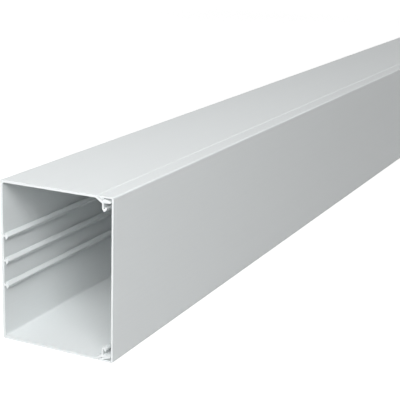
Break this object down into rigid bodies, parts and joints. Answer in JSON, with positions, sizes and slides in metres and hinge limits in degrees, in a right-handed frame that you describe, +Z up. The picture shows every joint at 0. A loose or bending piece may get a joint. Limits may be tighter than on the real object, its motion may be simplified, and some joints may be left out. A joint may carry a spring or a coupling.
{
  "type": "cable trunking",
  "caption": "Straight length of rectangular wall trunking for cables: a U-shaped plastic base with ribs on its back wall and clip edges, closed by a flat clip-on lid.",
  "frame": {"origin": "On the floor under the middle of the trunking: mid-length, midway between the wall face and the lid's face, at the underside of the lower side wall", "axes": "+X from the wall face towards the lid, +Y along the length, away from the end that the picture shows, +Z up across the section's height"},
  "size_m": [0.1, 2, 0.13],
  "materials": {
    "rigid_pvc": "satin light grey, extruded, with saw-cut ends"
  },
  "bodies": {
    "base": {"trunking_base": "rigid_pvc"},
    "lid": {"trunking_lid": "rigid_pvc"}
  },
  "joints": [
    {"name": "lid_pull_off", "type": "slide", "parent": "base", "child": "lid", "axis": [1, 0, 0], "range_m": [0, 0.12]}
  ]
}
